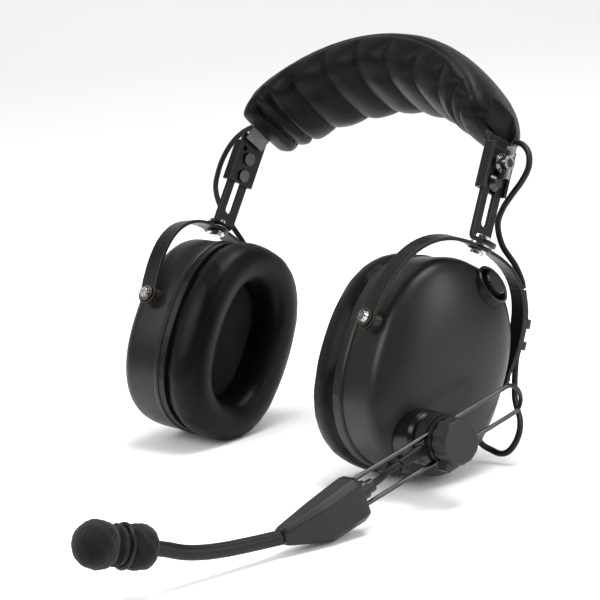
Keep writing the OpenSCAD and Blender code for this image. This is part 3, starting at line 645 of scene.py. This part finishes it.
# ---- Ear cup shells: smooth domes with a proud rim ----
SHELL_A, SHELL_B, WALL, ROUND_X, ROUND_POWER = 73.6 / 2, 98.6 / 2, 3.0, 4.0, 2.6
RIM_LIP = 0.9
# The rim's section: height above its free edge, and distance outside the shell
RIM_PROFILE = [
    (0, 0.4 - WALL), (0, RIM_LIP - 0.3), (0.4, RIM_LIP), (2.2, RIM_LIP), (2.8, RIM_LIP - 0.3), (3.1, 0.1),
]
DOME_STEPS = [0, 5, 10, 16, 22, 28, 34, 40, 46, 52, 58, 64, 70, 75, 80, 84, 87, 89]
PIVOT_Y = 38


def dome_ring(u, depth, a, b, n=128):
    k = math.cos(rad(u)) ** (2 / ROUND_POWER)
    x = ROUND_X + (depth - ROUND_X) * math.sin(rad(u)) ** (2 / ROUND_POWER)
    return [(x, y, z - CUP_DROP) for y, z in oval(a * k, b * k, n)]


def about_x(x, y, z):
    return move(x, y, z) @ turn(90, "Y")


def about_y(x, y, z):
    return move(x, y, z) @ turn(-90, "X")


KNOB = move(13, 9.5, 34.5) @ turn(-8, "X") @ turn(55, "Y")
GLAND = move(-2, 32.5, -28) @ turn(-16, "X") @ turn(-90, "X")


def cup_shell(s, end):
    outer = [dome_ring(u, FACE_X, SHELL_A, SHELL_B) for u in DOME_STEPS]
    inner = [dome_ring(u, FACE_X - WALL, SHELL_A - WALL, SHELL_B - WALL) for u in DOME_STEPS[::-1]]
    rim = [flat_ring(-RIM_X + up, SHELL_A + out, SHELL_B + out) for up, out in RIM_PROFILE]
    o = skin("cup_dome_" + end, inner + rim + outer, "shell_plastic")
    for sgn in (1, -1):
        cylinder_cut(o, about_y(0, sgn * PIVOT_Y, 0), 2.03, -8, 8)
    cylinder_cut(o, GLAND, 3.05, -6, 6)
    if s > 0:
        cylinder_cut(o, about_x(8, -8, -42), 12.1, 0, 24)
        cylinder_cut(o, KNOB, 9.6, -8, 14)
        cylinder_cut(o, move(2, -7, -60.5), 4.05, -8, 12)
    o.data.transform(cup(s))
    if s < 0:
        o.data.flip_normals()
    smooth(o, 32)
    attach(o, "cup_" + end)
    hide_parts("cup_shell_" + end)
    o.data.materials.clear()
    o.data.materials.append(MATERIALS["shell_plastic"])


def pivot_bosses(s, end):
    """Turned bosses on the shell that carry the tilt screws."""
    outline = [(2.1, -6), (4.6, -6), (4.6, 2.0), (4.4, 2.55), (3.9, 2.7), (2.1, 2.7)]
    turns = [2 * math.pi * j / 48 for j in range(48)]
    rings = [[(r * math.cos(q), r * math.sin(q), z) for q in turns] for r, z in outline]
    rear, front = about_y(0, PIVOT_Y, 0), move(0, -PIVOT_Y, 0) @ turn(90, "X")
    for frame_of, tag in ((rear, "rear"), (front, "front")):
        place = cup(s) @ frame_of
        o = skin("pivot_boss_%s_%s" % (end, tag), rings, "shell_plastic", loop=True, place=place)
        smooth(o, 30)
        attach(o, "cup_" + end)


for s, end in SIDES:
    cup_shell(s, end)
    pivot_bosses(s, end)


# ---- Gooseneck and microphone cable ----
NECK = [(91.7, 1.2), (99, 3.4), (108, 6.2), (117, 9.2), (126, 12.8), (134, 17), (140.5, 21.7), (146.3, 25.5)]
route = spline([BOOM @ (Vector((BOOM_X, -f, h)) * MM) for f, h in NECK], 10)


def neck_ribs(u):
    return 1 + 0.012 * math.sin(u * 260)


neck = tube_mesh("gooseneck_sleeve", route, 3.1 * MM, "neck_rubber", 24, neck_ribs)
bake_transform(neck)
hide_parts("gooseneck")
LEAD_X = 30.5
lead = [
    (LEAD_X, -24.1, 0), (LEAD_X, -28, 0), (LEAD_X + 1, -33, 0), (BOOM_X - 0.5, -38, 0), (BOOM_X, -42.6, 0),
]
route = spline([BOOM @ (Vector(p) * MM) for p in lead], 8)
o = tube_mesh("mic_lead", route, 1.5 * MM, "cable_rubber")
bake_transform(o)
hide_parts("mic_cable")


# ---- Windscreen: two-lobed foam cover ----
BALL_R, BALL_Z = 9.5, 23.5
BALL_STEPS = (-42, -30, -18, -6, 6, 18, 30, 42, 54, 66, 78, 87)
COLLAR = [
    (5.3, 0.3), (6.6, 0.2), (7.8, 1.0), (8.6, 2.8), (8.9, 5), (8.9, 7.6),
    (8.5, 9.6), (7.8, 10.9), (7.4, 12.2), (7.6, 13.6), (8.3, 15.6),
]


def windscreen(n=96):
    ball = [(BALL_R * math.cos(rad(a)), BALL_Z + BALL_R * math.sin(rad(a))) for a in BALL_STEPS]
    rings = []
    for p in spline([(r, z, 0) for r, z in COLLAR + ball], 4):
        ring = []
        for j in range(n):
            t = 2 * math.pi * j / n
            lump = 0.16 * math.sin(3 * t + p[1] * 0.6)
            lump = lump + 0.1 * math.sin(7 * t - p[1] * 1.1) + 0.07 * math.sin(13 * t + p[1] * 2.3)
            r = max(0.2, p[0] + lump * min(1, p[0] / 5))
            ring.append((r * math.cos(t), r * math.sin(t), p[1]))
        rings.append(ring)
    o = skin("windscreen_cover", rings, "windscreen_foam", place=MIC)
    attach(o, "microphone")
    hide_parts("windscreen")


windscreen()


# ---- Floor and light ----
def stage_plane():
    bm = bmesh.new()
    rows = [(-4, 0), (1.2, 0), (2.0, 0.12), (2.7, 0.5), (3.1, 1.2), (3.2, 4)]
    across = [-5, -2, 0, 2, 5]
    grid = [[bm.verts.new((x, y, z)) for x in across] for y, z in rows]
    for a, b in zip(grid, grid[1:]):
        for j in range(len(across) - 1):
            bm.faces.new((a[j], a[j + 1], b[j + 1], b[j]))
    mesh = bpy.data.meshes.new("floor")
    bm.transform(Matrix.Rotation(rad(48), 4, "Z"))
    bm.to_mesh(mesh)
    bm.free()
    o = bpy.data.objects.new("floor", mesh)
    scene.collection.objects.link(o)
    p = Paint("floor_paper", (0.93, 0.93, 0.93), 0.85, specular=0.1)
    p.drift(3, 1.01, 0.02)
    mesh.materials.append(p.m)
    smooth(o)


stage_plane()

# The sky lights surfaces fully, and is dimmer where it is only reflected, so that gloss stays dark
SKY_LIGHT, SKY_REFLECTED = 0.8, 0.1
world = bpy.data.worlds.new("studio")
world.use_nodes = True
tree = world.node_tree
sky = tree.nodes["Background"]
sky.inputs["Color"].default_value = (1, 1, 1, 1)
path = tree.nodes.new("ShaderNodeLightPath")
level = tree.nodes.new("ShaderNodeMapRange")
level.inputs["To Min"].default_value = SKY_LIGHT
level.inputs["To Max"].default_value = SKY_REFLECTED
tree.links.new(path.outputs["Is Glossy Ray"], level.inputs["Value"])
tree.links.new(level.outputs["Result"], sky.inputs["Strength"])
scene.world = world
scene.view_settings.view_transform = "Standard"
scene.view_settings.look = "None"
middle = Vector((0, 0, 0.08))


def area_light(name, where, size, power):
    lamp = bpy.data.lights.new(name, "AREA")
    lamp.shape, lamp.size, lamp.size_y, lamp.energy = "RECTANGLE", size[0], size[1], power
    o = bpy.data.objects.new(name, lamp)
    o.location = where
    o.rotation_euler = (middle - Vector(where)).to_track_quat("-Z", "Y").to_euler()
    scene.collection.objects.link(o)


area_light("key", (-0.5, -1.0, 0.9), (0.7, 0.5), 7)
area_light("top", (0.15, 0.25, 1.3), (0.7, 0.7), 17)
area_light("rim", (1.1, 0.5, 0.6), (0.4, 0.8), 6)
